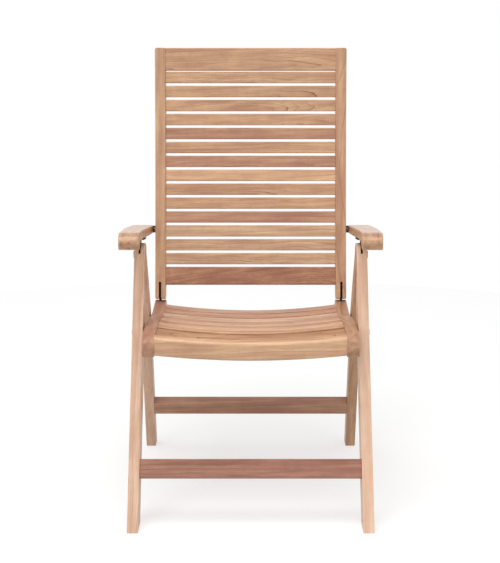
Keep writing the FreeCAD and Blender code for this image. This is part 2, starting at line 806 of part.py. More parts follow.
def arm_plan():
    front = -arm_front - arm_nose_round
    rear = arm_rear + arm_nose_round
    points = [V(arm_x[0], front, 0), V(arm_x[1], -arm_bend, 0), V(arm_x[1], rear, 0),
              V(arm_x[3], rear, 0), V(arm_x[3], arm_bend, 0), V(arm_x[2], front, 0)]
    points.append(points[0])
    return Part.Face(Part.makePolygon(points)).extrude(V(0, 0, 2 * arm_top))


def arm_blank():
    arm = arm_profile().common(arm_plan())
    tall = [e for e in arm.Edges if e.BoundBox.ZLength > arm_thickness / 2]
    nose = [e for e in tall if e.BoundBox.YMax < -arm_front + arm_nose_long / 3]
    middle = (arm_x[0] + arm_x[2]) / 2
    arm = rounded(arm, arm_nose_round_out, [e for e in nose if e.BoundBox.XMin > middle])
    tall = [e for e in arm.Edges if e.BoundBox.ZLength > arm_thickness / 2]
    nose = [e for e in tall if e.BoundBox.YMax < -arm_front + arm_nose_long / 3]
    arm = rounded(arm, arm_nose_round, [e for e in nose if e.BoundBox.XMax < middle])
    tall = [e for e in arm.Edges if e.BoundBox.ZLength > arm_thickness / 2]
    arm = rounded(arm, arm_end_round, [e for e in tall if e.BoundBox.YMin > arm_rear - 1])
    return rounded(arm, arm_edge_round, [e for e in arm.Edges if e.BoundBox.ZMin > arm_top - 0.5])


def arm_screw(a):
    shank = Part.makeCylinder(arm_screw_radius, arm_screw_length + flange_thick,
                              V(leg_mid, a, arm_rise - flange_thick), V(0, 0, 1))
    head = Part.makeCylinder(2 * arm_screw_radius, 1.5, V(leg_mid, a, arm_rise - flange_thick - 1.5),
                             V(0, 0, 1))
    return shank.fuse(head).removeSplitter()


def hook_screw(b):
    return Part.makeCylinder(hook_screw_radius, hook_thick + hook_screw_length,
                             V(arm_x[1] - hook_thick, hook_middle, b), V(1, 0, 0))


def arm_shape():
    arm = arm_blank()
    for a in flange_screws:
        arm = arm.cut(arm_screw(a))
    for b in hook_screw_heights:
        arm = arm.cut(hook_screw(b))
    return to_arm(arm)


def bracket_shape():
    x0 = leg_mid - bracket_thickness / 2
    x1 = leg_mid + bracket_thickness / 2
    half = tab_wide / 2
    disc = side_disc((0, 0), bracket_radius, x0, x1)
    tab = side_plate([(-half, 0), (half, 0), (half, arm_rise), (-half, arm_rise)], x0, x1)
    flange = Part.makeBox(flange_wide, flange_long, flange_thick,
                          V(leg_mid - flange_wide / 2, -flange_long / 2, arm_rise - flange_thick))
    lug = ring_sector((0, 0), bracket_radius - 4, lug_radius, lug_place + arm_slope - lug_half,
                      lug_place + arm_slope + lug_half, x0, x1)
    plate = disc.fuse(tab).fuse(flange).fuse(lug).removeSplitter()
    plate = plate.cut(side_disc((0, 0), apex_bolt_radius + running_clearance, x0 - 1, x1 + 1))
    for a in flange_screws:
        plate = plate.cut(arm_screw(a))
    return to_arm(plate)


def hook_shape():
    x0 = arm_x[1] - hook_thick
    low = arm_rise + hook_margin
    high = arm_top - hook_margin
    rear = arm_rear - hook_margin
    block = side_plate([(stud_a, low), (rear, low), (rear, high), (stud_a, high)], x0, arm_x[1])
    block = block.cut(side_disc((0, 0), hook_reach, x0 - 1, arm_x[1] + 1))
    for b in hook_screw_heights:
        block = block.cut(hook_screw(b))
    return to_arm(block)


# All named pieces

def build_nodes():
    nodes = []
    front_stretcher, front_tenon = front_stretcher_shape()
    rear_stretcher, rear_tenon = rear_stretcher_shape()
    front_leg = front_leg_shape(front_tenon)
    rear_leg = rear_leg_shape(rear_tenon)
    nodes.append(("front_leg_left", mirrored(front_leg)))
    nodes.append(("front_leg_right", front_leg))
    nodes.append(("front_stretcher", front_stretcher))
    nodes.append(("apex_bolts", pair_of(apex_bolt_shape())))
    nodes.append(("seat_pivot_bolts", pair_of(seat_bolt_shape())))
    nodes.append(("seat_pivot_washers", pair_of(seat_washer_shape())))
    nodes.append(("rear_leg_left", mirrored(rear_leg)))
    nodes.append(("rear_leg_right", rear_leg))
    nodes.append(("rear_stretcher", rear_stretcher))
    nodes.append(("seat_support_pegs", pair_of(peg_shape())))
    slats, slat_tenons = seat_slats()
    rail = seat_rail_shape(slat_tenons)
    nodes.append(("seat_rail_left", mirrored(rail)))
    nodes.append(("seat_rail_right", rail))
    for index, slat in enumerate(slats):
        nodes.append(("seat_slat_%02d" % (index + 1), slat))
    nodes.append(("hinge_tongues", pair_of(tongue_shape())))
    rivets = rivets_shape()
    nodes.append(("hinge_rivets", Part.makeCompound([mirrored(r) for r in rivets] + rivets)))
    members, member_tenons = back_members()
    stile = stile_shape(member_tenons)
    nodes.append(("back_stile_left", mirrored(stile)))
    nodes.append(("back_stile_right", stile))
    nodes.extend(members)
    nodes.append(("hinge_pins", pair_of(hinge_pin_shape())))
    nodes.append(("catch_studs", pair_of(stud_shape())))
    arm = arm_shape()
    bracket = bracket_shape()
    hook = hook_shape()
    arm_screws = Part.makeCompound([to_arm(arm_screw(a)) for a in flange_screws])
    hook_screws = Part.makeCompound([to_arm(hook_screw(b)) for b in hook_screw_heights])
    for name, shape in (("armrest", arm), ("arm_bracket", bracket), ("arm_hook", hook),
                        ("arm_bracket_screws", arm_screws), ("arm_hook_screws", hook_screws)):
        nodes.append((name + "_left", mirrored(shape)))
        nodes.append((name + "_right", shape))
    return nodes


nodes = build_nodes()
whole = Part.makeCompound([shape for name, shape in nodes]).BoundBox
shift = -(whole.YMin + whole.YMax) / 2

os.makedirs("parts", exist_ok=True)
for name, shape in nodes:
    shape.translate(V(0, shift, 0))
    shape.exportStep("parts/%s.step" % name)
    if not shape.isValid():
        print("not valid:", name)
print("nodes", len(nodes), "shift", round(shift, 3))
print("size", round(whole.XLength, 1), round(whole.YLength, 1), round(whole.ZMax - whole.ZMin, 1))
print("apex", apex, "seat pivot", seat_pivot, "hinge", hinge, "peg", peg, "stud", stud)
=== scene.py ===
# %% [markdown]
# # A folding teak armchair
#
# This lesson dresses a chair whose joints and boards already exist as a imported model.
# The model is in metres, with its origin on the floor in the middle of the chair. The sitter
# looks towards -Y, and so the camera stands on that side.
#
# The real chair is sawn and sanded teak with blackened plates and a few bright steel pins.
# Nothing on it is soft, so the work goes into the wood: how its figure runs along each board,
# how boards from different planks differ, and how each edge is eased by hand.

# %% Load the chair
import json
import math

import bmesh
import bpy
from mathutils import Euler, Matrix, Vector

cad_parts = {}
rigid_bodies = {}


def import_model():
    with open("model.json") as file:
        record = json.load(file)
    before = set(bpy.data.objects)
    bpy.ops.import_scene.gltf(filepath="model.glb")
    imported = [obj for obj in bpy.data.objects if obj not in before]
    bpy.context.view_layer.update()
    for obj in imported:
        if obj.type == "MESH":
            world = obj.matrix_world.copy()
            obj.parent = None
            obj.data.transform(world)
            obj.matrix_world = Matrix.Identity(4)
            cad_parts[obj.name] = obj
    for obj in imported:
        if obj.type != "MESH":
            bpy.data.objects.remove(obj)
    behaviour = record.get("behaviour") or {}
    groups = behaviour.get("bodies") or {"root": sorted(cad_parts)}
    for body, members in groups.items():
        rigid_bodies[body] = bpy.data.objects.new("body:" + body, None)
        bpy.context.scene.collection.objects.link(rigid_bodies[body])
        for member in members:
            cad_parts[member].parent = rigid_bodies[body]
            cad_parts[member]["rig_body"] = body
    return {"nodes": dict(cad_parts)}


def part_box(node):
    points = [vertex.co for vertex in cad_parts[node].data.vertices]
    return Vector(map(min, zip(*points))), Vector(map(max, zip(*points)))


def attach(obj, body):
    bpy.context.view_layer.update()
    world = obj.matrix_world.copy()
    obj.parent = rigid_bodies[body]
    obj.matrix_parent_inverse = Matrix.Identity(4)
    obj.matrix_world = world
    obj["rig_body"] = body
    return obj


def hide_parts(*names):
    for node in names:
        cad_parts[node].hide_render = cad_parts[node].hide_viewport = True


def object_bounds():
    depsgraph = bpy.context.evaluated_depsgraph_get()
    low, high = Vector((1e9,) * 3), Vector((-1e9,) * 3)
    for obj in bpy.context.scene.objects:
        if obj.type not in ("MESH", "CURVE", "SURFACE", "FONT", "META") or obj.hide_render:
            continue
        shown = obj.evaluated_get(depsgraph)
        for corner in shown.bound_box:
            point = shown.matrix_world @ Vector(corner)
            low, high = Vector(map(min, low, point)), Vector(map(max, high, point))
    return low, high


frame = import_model()
nodes = frame["nodes"]
cad_low, cad_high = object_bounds()
print("nodes:", len(nodes))
print("box:", [round(v, 3) for v in cad_low], [round(v, 3) for v in cad_high])

# %% [markdown]
# ## Which boards there are
#
# The names of the nodes say what each board is. Grain runs along a board's length, so the slopes
# of the boards that aren't level are needed later. They are measured on the boards' boxes:
# a straight board that is seen from the side is as long and as tall as its box, less its own
# width.

# %% Sort the boards
FRONT_LEG_WIDTH = 0.055
REAR_LEG_WIDTH = 0.040
STILE_WIDTH = 0.045
ARM_THICKNESS = 0.025


def named(*starts):
    return sorted(name for name in nodes if name.startswith(starts))


def slope_of(name, width):
    low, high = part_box(name)
    return math.atan2(high[2] - low[2] - width, high[1] - low[1] - width)


seat_slats = named("seat_slat_")
back_slats = named("back_slat_")
cross_boards = named("back_top_rail", "back_bottom_rail", "front_stretcher", "rear_stretcher")
FRONT_LEG_SLOPE = slope_of("front_leg_right", FRONT_LEG_WIDTH)
REAR_LEG_SLOPE = -slope_of("rear_leg_right", REAR_LEG_WIDTH)
STILE_SLOPE = slope_of("back_stile_right", STILE_WIDTH)
ARM_SLOPE = -slope_of("armrest_right", ARM_THICKNESS)
print("slats:", len(seat_slats), "in the seat,", len(back_slats), "in the back")
print("slopes:", [round(math.degrees(a), 1)
                  for a in (FRONT_LEG_SLOPE, REAR_LEG_SLOPE, STILE_SLOPE, ARM_SLOPE)])

# %% [markdown]
# ## Joining a board's triangles
#
# A sanded board has no knife edge, and the narrow round along it is what catches the light.
# The model's boards are made of loose triangles, and most of them are sharp. A Bevel modifier
# would need a Weld modifier first, and it would say nothing about where the edge is worn. So
# each board is copied, and its triangles are joined into whole faces, so that an edge of the
# wood is an edge of the mesh.

# %% Join a board's triangles
SAME_PLACE = 0.00002     # corners this close are one corner
FLAT = math.radians(0.5)     # faces that turn less than this are one face


def joined_copy(name):
    shape = bmesh.new()
    shape.from_mesh(nodes[name].data)
    bmesh.ops.remove_doubles(shape, verts=shape.verts, dist=SAME_PLACE)
    bmesh.ops.dissolve_limit(shape, angle_limit=FLAT, verts=shape.verts, edges=shape.edges,
                             delimit=set())
    return shape


def outward_edges(shape, angle):
    return [edge for edge in shape.edges
            if len(edge.link_faces) == 2 and edge.is_convex and edge.calc_face_angle(0) > angle]


shape = joined_copy("front_leg_right")
print("a front leg has", len(nodes["front_leg_right"].data.polygons), "triangles and",
      len(shape.faces), "joined faces")
shape.free()

# %% [markdown]
# ## Putting a board in its node's place
#
# Each finished shape stands for its node: it rides on the same body and hides the sharp one.
# Its flat faces have to stay flat to the light while its rounds are smooth. Splitting the mesh
# would do that too, but it would open the seams. The Weighted Normal modifier leaves the
# mesh whole: the big faces decide how the corners are shaded, and the inside corners of slots
# and laps are marked as sharp for it.

# %% Finish a board from its shape
SHARP = math.radians(38)     # edges that turn more than this are corners of the wood


def finished_board(shape, name):
    for face in shape.faces:
        face.smooth = True
    for edge in shape.edges:
        edge.smooth = not (len(edge.link_faces) == 2 and edge.calc_face_angle(0) > SHARP)
    mesh = bpy.data.meshes.new("eased_" + name)
    shape.to_mesh(mesh)
    shape.free()
    board = bpy.data.objects.new("eased_" + name, mesh)
    bpy.context.scene.collection.objects.link(board)
    weigh = board.modifiers.new("flat_faces_stay_flat", "WEIGHTED_NORMAL")
    weigh.keep_sharp = True
    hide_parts(name)
    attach(board, nodes[name]["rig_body"])
    return board


# %% [markdown]
# ## Easing the edges
#
# The outward edges are bevelled, wider on the thick rear legs than on the thin slats. Splinters
# of edges at the mouths of slots are left out, since a bevel folds over on them. The vertices
# inside a round get an attribute, `eased`, that the wood's colour reads later to paint a pale
# highlight along the rounds. The seat's slats are round already, so there the inside of a round
# is found from how narrow its faces are.

# %% Ease the edges
ROUND_STEPS = 3
SHORTEST = 0.0012            # a shorter edge is a splinter
SLIGHT = math.radians(6)     # neighbours in a round turn at least this much
NARROW = 0.003               # and are narrower than this


def bevelled_faces(shape, width):
    whole = [edge for edge in outward_edges(shape, SHARP) if edge.calc_length() > SHORTEST]
    return set(bmesh.ops.bevel(shape, geom=whole, offset=width, offset_type="OFFSET",
                               affect="EDGES", segments=ROUND_STEPS, profile=0.5, material=-1,
                               clamp_overlap=False)["faces"])


def round_faces(shape):
    bent = {face for edge in outward_edges(shape, SLIGHT) for face in edge.link_faces}
    return {face for face in bent
            if face.calc_area() / max(edge.calc_length() for edge in face.edges) < NARROW}


def eased_board(name, width):
    shape = joined_copy(name)
    eased = shape.verts.layers.float.new("eased")
    rounds = bevelled_faces(shape, width) if width else round_faces(shape)
    for vert in shape.verts:
        if vert.link_faces and rounds.issuperset(vert.link_faces):
            vert[eased] = 1.0
    return finished_board(shape, name)


EASINGS = (
    (back_slats, "teak_slat", 0.0012),
    (seat_slats, "teak_slat", 0.0),
    (cross_boards + named("back_stile"), "teak_frame", 0.0015),
    (named("rear_leg"), "teak_frame", 0.0020),
    (named("front_leg", "seat_rail"), "teak_frame", 0.0008),
)
boards = {}
for names, slot, width in EASINGS:
    for name in names:
        boards[name] = eased_board(name, width)
print("eased boards:", len(boards), "with",
      sum(len(board.data.polygons) for board in boards.values()), "faces")

# %% [markdown]
# ## The arms
#
# An arm is the one board that hands rub all over, and its nose is shaped in every direction.
# A bevel stumbles there, because the nose's rounds end in edges that are shorter than the bevel
# is wide. A remesh has no such trouble: it wraps the arm in small even squares, and a few rounds
# of smoothing then wear every edge down a little, as sandpaper does. What was an edge still
# turns more from square to square than the rest, and is marked as eased.

# %% Wear the arms smooth
SQUARE = 0.0018
RUBS = 3                     # rounds of smoothing
RUB = 0.5                    # how far each of them goes
BENT = math.radians(9)       # worn edges turn more than this from square to square


def even_squares(name):
    shape = joined_copy(name)
    block = bpy.data.meshes.new("block_" + name)
    shape.to_mesh(block)
    shape.free()
    holder = bpy.data.objects.new("block_" + name, block)
    bpy.context.scene.collection.objects.link(holder)
    wrap = holder.modifiers.new("even_squares", "REMESH")
    wrap.mode = "VOXEL"
    wrap.voxel_size = SQUARE
    graph = bpy.context.evaluated_depsgraph_get()
    even = bpy.data.meshes.new_from_object(holder.evaluated_get(graph))
    bpy.data.objects.remove(holder)
    return even


def rubbed_arm(name):
    shape = bmesh.new()
    shape.from_mesh(even_squares(name))
    for rub in range(RUBS):
        bmesh.ops.smooth_vert(shape, verts=shape.verts, factor=RUB, use_axis_x=True,
                              use_axis_y=True, use_axis_z=True)
    eased = shape.verts.layers.float.new("eased")
    for edge in outward_edges(shape, BENT):
        for vert in edge.verts:
            vert[eased] = 1.0
    return finished_board(shape, name)


for name in named("armrest"):
    boards[name] = rubbed_arm(name)
    print(boards[name].name, "has", len(boards[name].data.polygons), "squares")

# %% [markdown]
# ## Growth rings
#
# Teak grows in rings round a pith, and a plank cuts through them. Where the cut lies nearly
# along the rings they show as long arches, and elsewhere as almost parallel lines. The shader
# group below does what the saw does: it measures how far a point is from a pith line that lies
# outside the board and leans a little against it. A Wave texture would be quicker, but its lines
# are the same on every board and don't meet at the edges. As this one works in three
# dimensions, the figure turns correctly over edges and shows as rings on the ends.
#
# Every year is a little different, so a number drawn from the count of the ring says how strong
# its dark line is.

# %% Helpers for shader nodes
COLOUR = "NodeSocketColor"
NUMBER = "NodeSocketFloat"
VECTOR = "NodeSocketVector"


def add(tree, kind, **settings):
    node = tree.nodes.new(kind)
    for key, value in settings.items():
        setattr(node, key, value)
    return node


def feed(tree, socket, value):
    # a socket, a number or a colour goes into a socket
    if isinstance(value, bpy.types.NodeSocket):
        tree.links.new(value, socket)
    else:
        socket.default_value = value


def maths(tree, operation, first, second=0.0):
    node = add(tree, "ShaderNodeMath", operation=operation)
    feed(tree, node.inputs[0], first)
    feed(tree, node.inputs[1], second)
    return node.outputs[0]


def stretched(tree, vector, scale):
    node = add(tree, "ShaderNodeMapping")
    tree.links.new(vector, node.inputs["Vector"])
    node.inputs["Scale"].default_value = scale
    return node.outputs[0]


def new_group(name, ins, outs):
    tree = bpy.data.node_groups.new(name, "ShaderNodeTree")
    for label, kind in ins:
        tree.interface.new_socket(name=label, in_out="INPUT", socket_type=kind)
    for label, kind in outs:
        tree.interface.new_socket(name=label, in_out="OUTPUT", socket_type=kind)
    return tree, add(tree, "NodeGroupInput").outputs, add(tree, "NodeGroupOutput").inputs


# %% Build the growth rings
SWAY_WAVES = (3.4, 16, 16)         # along the trunk and across it, in a metre
SWAY_PUSH = (0.0, 0.028, 0.028)    # how far the sway pushes a ring, in metres
LINE_EDGE = 6.0                    # a higher power leaves a thinner line at the ring's end
YEAR_SPREAD = 1.7                  # a higher power leaves fewer strong years
BAND_RINGS = 1.7                   # a slow band rises over so many rings, and falls again


def make_growth_rings():
    # Vector is in metres with x along the pith; Rings is how many there are in a metre
    tree, ins, outs = new_group("growth_rings", [("Vector", VECTOR), ("Rings", NUMBER)],
                                [("Line", NUMBER), ("Band", NUMBER)])
    sway = add(tree, "ShaderNodeTexNoise")
    tree.links.new(stretched(tree, ins["Vector"], SWAY_WAVES), sway.inputs["Vector"])
    sway.inputs["Scale"].default_value = 1.0
    sway.inputs["Detail"].default_value = 3.0
    push = add(tree, "ShaderNodeVectorMath", operation="MULTIPLY_ADD")
    tree.links.new(sway.outputs["Color"], push.inputs[0])
    push.inputs[1].default_value = SWAY_PUSH
    tree.links.new(ins["Vector"], push.inputs[2])
    across = stretched(tree, push.outputs[0], (0, 1, 1))
    reach = add(tree, "ShaderNodeVectorMath", operation="LENGTH")
    tree.links.new(across, reach.inputs[0])
    turns = maths(tree, "MULTIPLY", reach.outputs["Value"], ins["Rings"])
    edge = maths(tree, "POWER", maths(tree, "FRACT", turns), LINE_EDGE)
    year = add(tree, "ShaderNodeTexWhiteNoise", noise_dimensions="1D")
    tree.links.new(maths(tree, "FLOOR", turns), year.inputs["W"])
    strength = maths(tree, "POWER", year.outputs["Value"], YEAR_SPREAD)
    tree.links.new(maths(tree, "MULTIPLY", edge, strength), outs["Line"])
    tree.links.new(maths(tree, "PINGPONG", turns, BAND_RINGS), outs["Band"])
    return tree


growth_rings = make_growth_rings()
print("growth rings:", len(growth_rings.nodes), "shader nodes")

# %% [markdown]
# ## The sawn and sanded face
#
# Over the rings come slower and finer effects: broad patches, cross ripple, dark streaks of
# heartwood, thin fibre streaks, and the short dark pores that give teak its dry look. Each is a
# noise that is stretched along the board. Eased edges are painted paler, as a painted highlight
# along the rounds.
#
# They could be painted on, but a picture has one board's figure and this chair has 39. One
# group with a few inputs dresses them all, and gives the colour, the roughness and the height
# of the grain together, so that a dark pore is also a dull and a sunken one.

# %% Build the teak surface
# waves in a metre: along the board, then across it both ways
PATCHES = (7, 75, 75)
DEEPER = (4, 14, 14)
RIPPLE = (48, 24, 24)
HEART = (2.5, 60, 60)
FIBRES = (9, 460, 460)
PORES = (45, 1400, 1400)
FIGURE = (2.6, 22, 22)       # where the rings' lines are strong and where they fade
# how far each one pulls the colour: to tan, then pores to the lines' colour, and the painted
# highlight pulls edges to pale
PATCH_PULL, BAND_PULL, RIPPLE_PULL, DEEPER_PULL, FIBRE_PULL = 0.55, 0.22, 0.13, 0.35, 0.75
PORE_PULL = 0.28
# the eased rounds are painted paler, as a painted highlight
EDGE_HIGHLIGHT_PULL = 0.3


def mixed(tree, factor, first, second):
    node = add(tree, "ShaderNodeMix", data_type="RGBA")
    feed(tree, node.inputs[0], factor)
    feed(tree, node.inputs[6], first)
    feed(tree, node.inputs[7], second)
    return node.outputs[2]


def noise(tree, vector, scale, detail=2.0, rough=0.5):
    node = add(tree, "ShaderNodeTexNoise")
    tree.links.new(vector, node.inputs["Vector"])
    node.inputs["Scale"].default_value = scale
    node.inputs["Detail"].default_value = detail
    node.inputs["Roughness"].default_value = rough
    return node.outputs["Fac"]


def between(tree, value, low, high):
    node = add(tree, "ShaderNodeMapRange", interpolation_type="SMOOTHSTEP")
    tree.links.new(value, node.inputs["Value"])
    node.inputs["From Min"].default_value = low
    node.inputs["From Max"].default_value = high
    return node.outputs[0]


def make_teak_surface():
    tree, ins, outs = new_group(
        "teak_surface",
        [("Vector", VECTOR), ("Eased", NUMBER), ("Pale", COLOUR), ("Tan", COLOUR),
         ("Line", COLOUR), ("Heart", COLOUR), ("Rings", NUMBER), ("Figure", NUMBER),
         ("Streaks", NUMBER), ("Polish", NUMBER)],
        [("Color", COLOUR), ("Roughness", NUMBER), ("Height", NUMBER)])

    def waves(scale, detail=2.0, rough=0.5):
        return noise(tree, stretched(tree, ins["Vector"], scale), 1.0, detail, rough)

    def times(first, second):
        return maths(tree, "MULTIPLY", first, second)

    def plus(first, second):
        return maths(tree, "ADD", first, second)

    grown = add(tree, "ShaderNodeGroup", node_tree=growth_rings)
    tree.links.new(ins["Vector"], grown.inputs["Vector"])
    tree.links.new(ins["Rings"], grown.inputs["Rings"])
    patches = between(tree, waves(PATCHES, 3.0), 0.34, 0.66)
    heart = between(tree, waves(HEART, 3.0), 0.52, 0.70)
    fibres = waves(FIBRES, 4.0, 0.65)
    pores = between(tree, waves(PORES, 1.0), 0.56, 0.74)
    presence = between(tree, waves(FIGURE), 0.35, 0.6)
    ripple = between(tree, waves(RIPPLE), 0.4, 0.7)
    deeper = between(tree, waves(DEEPER), 0.45, 0.75)

    ground = plus(times(patches, PATCH_PULL), times(grown.outputs["Band"], BAND_PULL))
    ground = plus(ground, times(ripple, RIPPLE_PULL))
    ground = plus(ground, times(deeper, DEEPER_PULL))
    colour = mixed(tree, ground, ins["Pale"], ins["Tan"])
    colour = mixed(tree, times(heart, ins["Streaks"]), colour, ins["Heart"])
    threads = times(between(tree, fibres, 0.44, 0.70), FIBRE_PULL)
    colour = mixed(tree, threads, colour, ins["Tan"])
    shown = times(plus(presence, 0.3), ins["Figure"])
    line = times(grown.outputs["Line"], shown)
    colour = mixed(tree, line, colour, ins["Line"])
    colour = mixed(tree, times(pores, PORE_PULL), colour, ins["Line"])
    # painted highlight: the eased rounds are pulled towards the pale ground
    colour = mixed(tree, times(ins["Eased"], EDGE_HIGHLIGHT_PULL), colour, ins["Pale"])
    tree.links.new(colour, outs["Color"])

    dry = plus(times(fibres, 0.24), 0.30)
    tree.links.new(maths(tree, "SUBTRACT", dry, ins["Polish"]), outs["Roughness"])
    relief = maths(tree, "SUBTRACT", times(fibres, 0.7), pores)
    tree.links.new(maths(tree, "SUBTRACT", relief, line), outs["Height"])
    return tree


teak_surface = make_teak_surface()
print("teak surface:", len(teak_surface.nodes), "shader nodes")

# %% [markdown]
# ## Stocks of boards
#
# The boards come from different planks, and that is most of what makes a row of slats look real.
# Nine stocks are enough. Each has a pale ground, a tan ground, the colour of its ring lines and
# that of its heartwood streaks. The values are written as a paint shop would, from 0 to 255,
# and turned into the linear values that shaders need.

# %% Name the stocks
def paint(red, green, blue):
    def linear(value):
        value = value / 255
        return value / 12.92 if value <= 0.04045 else ((value + 0.055) / 1.055) ** 2.4
    return (linear(red), linear(green), linear(blue), 1.0)


STOCKS = {
    # the two palest stocks are the legs' own tone with painted light on top: a painted highlight
    # on the front legs, painted bounce light on the rear left leg
    "painted_highlight_pale": ((241, 208, 181), (220, 178, 149), (179, 132, 103), (206, 158, 131)),
    "painted_light_pale": ((232, 197, 170), (207, 165, 137), (168, 122, 94), (194, 146, 120)),
    "pale": ((232, 192, 150), (200, 153, 121), (160, 110, 80), (186, 131, 105)),
    "sandy": ((229, 194, 154), (190, 149, 120), (142, 98, 70), (173, 121, 98)),
    "honey": ((222, 181, 140), (184, 139, 109), (138, 92, 64), (168, 113, 89)),
    "tan": ((212, 170, 129), (172, 126, 96), (126, 82, 56), (156, 103, 79)),
    "rosy": ((208, 163, 128), (172, 123, 100), (128, 82, 61), (151, 97, 78)),
    "russet": ((196, 147, 114), (158, 108, 83), (112, 68, 50), (134, 84, 66)),
    "walnutty": ((180, 129, 104), (146, 97, 79), (104, 63, 48), (120, 75, 60)),
}
print("stocks:", ", ".join(STOCKS))

# %% [markdown]
# ## One board's material
#
# Every board gets a material of its own, because its pith lies elsewhere. A Mapping node first
# turns the board so that its length is along x, and moves it to its place in the log. A second
# one leans it against the pith. `sawn` is the direction from the board to the pith, seen
# along the board: 0 is straight behind or beside it and gives arches on the face, and 90 is
# above it and gives parallel lines. `depth` is how far the pith is away. `lean` is the small
# angle between the pith and the board, and it decides how long the arches are.

# %% Find a board's place in the log
ACROSS = (0.0, 0.0, 0.0)     # a board across the chair lies along x as it is
LOG_STEP = 0.43              # each board is cut this much further along the log
WASTE = 2                    # so many lengths at the log's butt aren't used
dressed = []


def sloping(angle):
    # the turn that lays a board in the side plane, rising by this angle to the rear, along x
    return (-angle, 0.0, -math.pi / 2)


def log_place(name, turn, sawn, depth, along):
    low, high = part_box(name)
    middle = (Vector(low) + Vector(high)) / 2
    middle.rotate(Euler(turn, "XYZ"))
    angle = math.radians(sawn)
    return Vector((along, depth * math.cos(angle), depth * math.sin(angle))) - middle


def in_the_log(tree, name, turn, sawn, depth, lean):
    dressed.append(name)
    along = LOG_STEP * (WASTE + len(dressed))
    laid = add(tree, "ShaderNodeMapping")
    tree.links.new(add(tree, "ShaderNodeTexCoord").outputs["Object"], laid.inputs["Vector"])
    laid.inputs["Rotation"].default_value = turn
    laid.inputs["Location"].default_value = log_place(name, turn, sawn, depth, along)
    pitch, yaw = math.radians(lean), math.radians(lean * 0.8)
    leant = add(tree, "ShaderNodeMapping")
    tree.links.new(laid.outputs[0], leant.inputs["Vector"])
    leant.inputs["Rotation"].default_value = (0.0, pitch, yaw)
    leant.inputs["Location"].default_value = (0.0, -along * math.sin(yaw),
                                              along * math.sin(pitch))
    return leant.outputs[0]


# %% [markdown]
# The material itself is short: the place in the log goes into the teak group with the stock's
# four colours, and the group's results go into a Principled BSDF. The bump is slight, since
# the chair is sanded.

# %% Make one board's material
GRAIN_STRENGTH = 0.3
GRAIN_DEPTH = 0.0004


def teak(name, stock, turn, sawn, depth, lean, rings=210.0, figure=1.25, streaks=0.3,
         polish=0.0):
    material = bpy.data.materials.new("teak_" + name)
    material.use_nodes = True
    tree = material.node_tree
    shader = tree.nodes["Principled BSDF"]
    group = add(tree, "ShaderNodeGroup", node_tree=teak_surface)
    feed(tree, group.inputs["Vector"], in_the_log(tree, name, turn, sawn, depth, lean))
    worn = add(tree, "ShaderNodeAttribute", attribute_name="eased")
    tree.links.new(worn.outputs["Fac"], group.inputs["Eased"])
    for label, colour in zip(("Pale", "Tan", "Line", "Heart"), STOCKS[stock]):
        group.inputs[label].default_value = paint(*colour)
    for label, value in (("Rings", rings), ("Figure", figure), ("Streaks", streaks),
                         ("Polish", polish)):
        group.inputs[label].default_value = value
    bump = add(tree, "ShaderNodeBump")
    bump.inputs["Strength"].default_value = GRAIN_STRENGTH
    bump.inputs["Distance"].default_value = GRAIN_DEPTH
    tree.links.new(group.outputs["Height"], bump.inputs["Height"])
    tree.links.new(group.outputs["Color"], shader.inputs["Base Color"])
    tree.links.new(group.outputs["Roughness"], shader.inputs["Roughness"])
    tree.links.new(bump.outputs[0], shader.inputs["Normal"])
    boards[name].data.materials.append(material)


# %% [markdown]
# ## The boards across the chair
#
# The back's slats were matched with the picture: half are honey, three are rosier, one in
# the middle is pale and the lowest three are sandy. The seat's slats alternate more, so that
# the narrow gaps between them can be read. Each line below is one slat, from the top down and
# from the front to the rear: its stock, where its pith is, how far, how much it leans, and how
# strong its dark streaks are.

# %% Dress the slats
BACK_SLAT_CUTS = (
    ("honey", 30, 0.040, 3.0, 0.3),
    ("honey", 12, 0.018, 3.6, 0.4),
    ("honey", 4, 0.020, 5.0, 0.5),
    ("honey", 40, 0.030, 3.4, 0.4),
    ("rosy", 66, 0.050, 2.0, 0.5),
    ("honey", 80, 0.060, 1.5, 0.3),
    ("rosy", 6, 0.014, 3.0, 0.6),
    ("pale", 25, 0.040, 2.4, 0.3),
    ("honey", 20, 0.022, 3.8, 0.5),
    ("honey", 70, 0.040, 2.3, 0.4),
    ("rosy", 50, 0.035, 1.6, 0.3),
    ("sandy", 84, 0.070, 1.0, 0.2),
    ("sandy", 35, 0.030, 2.5, 0.5),
    ("sandy", 10, 0.024, 3.2, 0.4),
)
SEAT_SLAT_CUTS = (
    ("pale", 75, 0.090, 1.6, 0.3),
    ("tan", 84, 0.050, 2.8, 0.6),
    ("honey", 60, 0.070, 1.4, 0.3),
    ("pale", 20, 0.080, 2.0, 0.2),
    ("rosy", 70, 0.065, 1.2, 0.3),
    ("pale", 35, 0.075, 2.2, 0.4),
    ("honey", 80, 0.060, 1.5, 0.2),
    ("rosy", 50, 0.085, 1.8, 0.5),
    ("sandy", 75, 0.070, 1.3, 0.3),
    ("rosy", 30, 0.060, 2.4, 0.3),
    ("rosy", 65, 0.080, 1.6, 0.4),
)
for slats, cuts in ((back_slats, BACK_SLAT_CUTS), (seat_slats, SEAT_SLAT_CUTS)):
    for name, (stock, sawn, depth, lean, streaks) in zip(slats, cuts):
        teak(name, stock, ACROSS, sawn, depth, lean, streaks=streaks)
print("slats dressed:", len(dressed))

# %% [markdown]
# The rails of the back and the stretchers are wider, so they show more of one log. The bottom
# rail is cut askew to its pith, which gives the slanting lines that it has in the picture, and
# the front stretcher is the darkest board.

